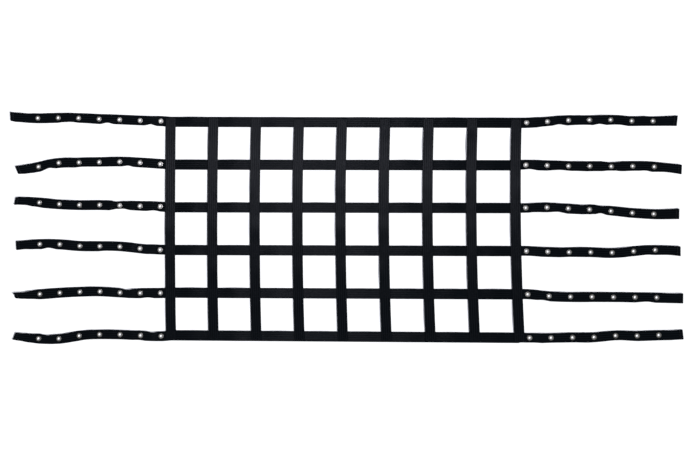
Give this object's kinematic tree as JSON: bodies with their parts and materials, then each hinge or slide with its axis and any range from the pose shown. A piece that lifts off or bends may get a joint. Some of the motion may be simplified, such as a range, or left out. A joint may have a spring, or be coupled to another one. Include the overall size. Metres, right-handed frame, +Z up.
{
  "type": "cargo climbing net",
  "caption": "Flat cargo climbing net of black webbing straps sewn into square openings, with long eyeleted lashing tails on its two sides.",
  "frame": {"origin": "on the floor, under the middle of the outline of the net and its tails as it lies", "axes": "+X along the rows towards the right-hand tails, +Y along the columns towards the top row, +Z up from the floor"},
  "size_m": [3.3084, 1.1576, 0.0048],
  "materials": {
    "webbing": "black woven polyester webbing, ribbed, slight sheen",
    "webbing_columns": "black woven polyester webbing, ribbed, slight sheen",
    "thread": "black bonded polyester thread",
    "eyelet_metal": "nickel plated, satin",
    "washer_metal": "nickel plated, satin"
  },
  "bodies": {
    "net": {"row_strap_1": "webbing", "row_strap_2": "webbing", "row_strap_3": "webbing", "row_strap_4": "webbing", "row_strap_5": "webbing", "row_strap_6": "webbing", "column_strap_1": "webbing_columns", "column_strap_2": "webbing_columns", "column_strap_3": "webbing_columns", "column_strap_4": "webbing_columns", "column_strap_5": "webbing_columns", "column_strap_6": "webbing_columns", "column_strap_7": "webbing_columns", "column_strap_8": "webbing_columns", "column_strap_9": "webbing_columns", "stitching_row_1": "thread", "stitching_row_2": "thread", "stitching_row_3": "thread", "stitching_row_4": "thread", "stitching_row_5": "thread", "stitching_row_6": "thread"},
    "tail_left_1_body": {"tail_left_1": "webbing", "eyelets_left_1": "eyelet_metal", "washers_left_1": "washer_metal"},
    "tail_left_2_body": {"tail_left_2": "webbing", "eyelets_left_2": "eyelet_metal", "washers_left_2": "washer_metal"},
    "tail_left_3_body": {"tail_left_3": "webbing", "eyelets_left_3": "eyelet_metal", "washers_left_3": "washer_metal"},
    "tail_left_4_body": {"tail_left_4": "webbing", "eyelets_left_4": "eyelet_metal", "washers_left_4": "washer_metal"},
    "tail_left_5_body": {"tail_left_5": "webbing", "eyelets_left_5": "eyelet_metal", "washers_left_5": "washer_metal"},
    "tail_left_6_body": {"tail_left_6": "webbing", "eyelets_left_6": "eyelet_metal", "washers_left_6": "washer_metal"},
    "tail_right_1_body": {"tail_right_1": "webbing", "eyelets_right_1": "eyelet_metal", "washers_right_1": "washer_metal"},
    "tail_right_2_body": {"tail_right_2": "webbing", "eyelets_right_2": "eyelet_metal", "washers_right_2": "washer_metal"},
    "tail_right_3_body": {"tail_right_3": "webbing", "eyelets_right_3": "eyelet_metal", "washers_right_3": "washer_metal"},
    "tail_right_4_body": {"tail_right_4": "webbing", "eyelets_right_4": "eyelet_metal", "washers_right_4": "washer_metal"},
    "tail_right_5_body": {"tail_right_5": "webbing", "eyelets_right_5": "eyelet_metal", "washers_right_5": "washer_metal"},
    "tail_right_6_body": {"tail_right_6": "webbing", "eyelets_right_6": "eyelet_metal", "washers_right_6": "washer_metal"}
  },
  "joints": [
    {"name": "tail_left_1_fold", "type": "hinge", "parent": "net", "child": "tail_left_1_body", "pos_m": [-0.87299, 0.52421, 0.0011], "axis": [0, 1, 0], "range_deg": [-130, 130]},
    {"name": "tail_left_2_fold", "type": "hinge", "parent": "net", "child": "tail_left_2_body", "pos_m": [-0.87308, 0.31173, 0.0011], "axis": [0, 1, 0], "range_deg": [-130, 130]},
    {"name": "tail_left_3_fold", "type": "hinge", "parent": "net", "child": "tail_left_3_body", "pos_m": [-0.8728, 0.09989, 0.0011], "axis": [0, 1, 0], "range_deg": [-130, 130]},
    {"name": "tail_left_4_fold", "type": "hinge", "parent": "net", "child": "tail_left_4_body", "pos_m": [-0.87148, -0.11131, 0.0011], "axis": [0, 1, 0], "range_deg": [-130, 130]},
    {"name": "tail_left_5_fold", "type": "hinge", "parent": "net", "child": "tail_left_5_body", "pos_m": [-0.86864, -0.32187, 0.0011], "axis": [0, 1, 0], "range_deg": [-130, 130]},
    {"name": "tail_left_6_fold", "type": "hinge", "parent": "net", "child": "tail_left_6_body", "pos_m": [-0.86399, -0.53179, 0.0011], "axis": [0, 1, 0], "range_deg": [-130, 130]},
    {"name": "tail_right_1_fold", "type": "hinge", "parent": "net", "child": "tail_right_1_body", "pos_m": [0.89101, 0.51021, 0.0011], "axis": [0, -1, 0], "range_deg": [-130, 130]},
    {"name": "tail_right_2_fold", "type": "hinge", "parent": "net", "child": "tail_right_2_body", "pos_m": [0.88701, 0.30269, 0.0011], "axis": [0, -1, 0], "range_deg": [-130, 130]},
    {"name": "tail_right_3_fold", "type": "hinge", "parent": "net", "child": "tail_right_3_body", "pos_m": [0.88621, 0.09453, 0.0011], "axis": [0, -1, 0], "range_deg": [-130, 130]},
    {"name": "tail_right_4_fold", "type": "hinge", "parent": "net", "child": "tail_right_4_body", "pos_m": [0.8886, -0.11427, 0.0011], "axis": [0, -1, 0], "range_deg": [-130, 130]},
    {"name": "tail_right_5_fold", "type": "hinge", "parent": "net", "child": "tail_right_5_body", "pos_m": [0.89421, -0.32371, 0.0011], "axis": [0, -1, 0], "range_deg": [-130, 130]},
    {"name": "tail_right_6_fold", "type": "hinge", "parent": "net", "child": "tail_right_6_body", "pos_m": [0.903, -0.53379, 0.0011], "axis": [0, -1, 0], "range_deg": [-130, 130]}
  ]
}
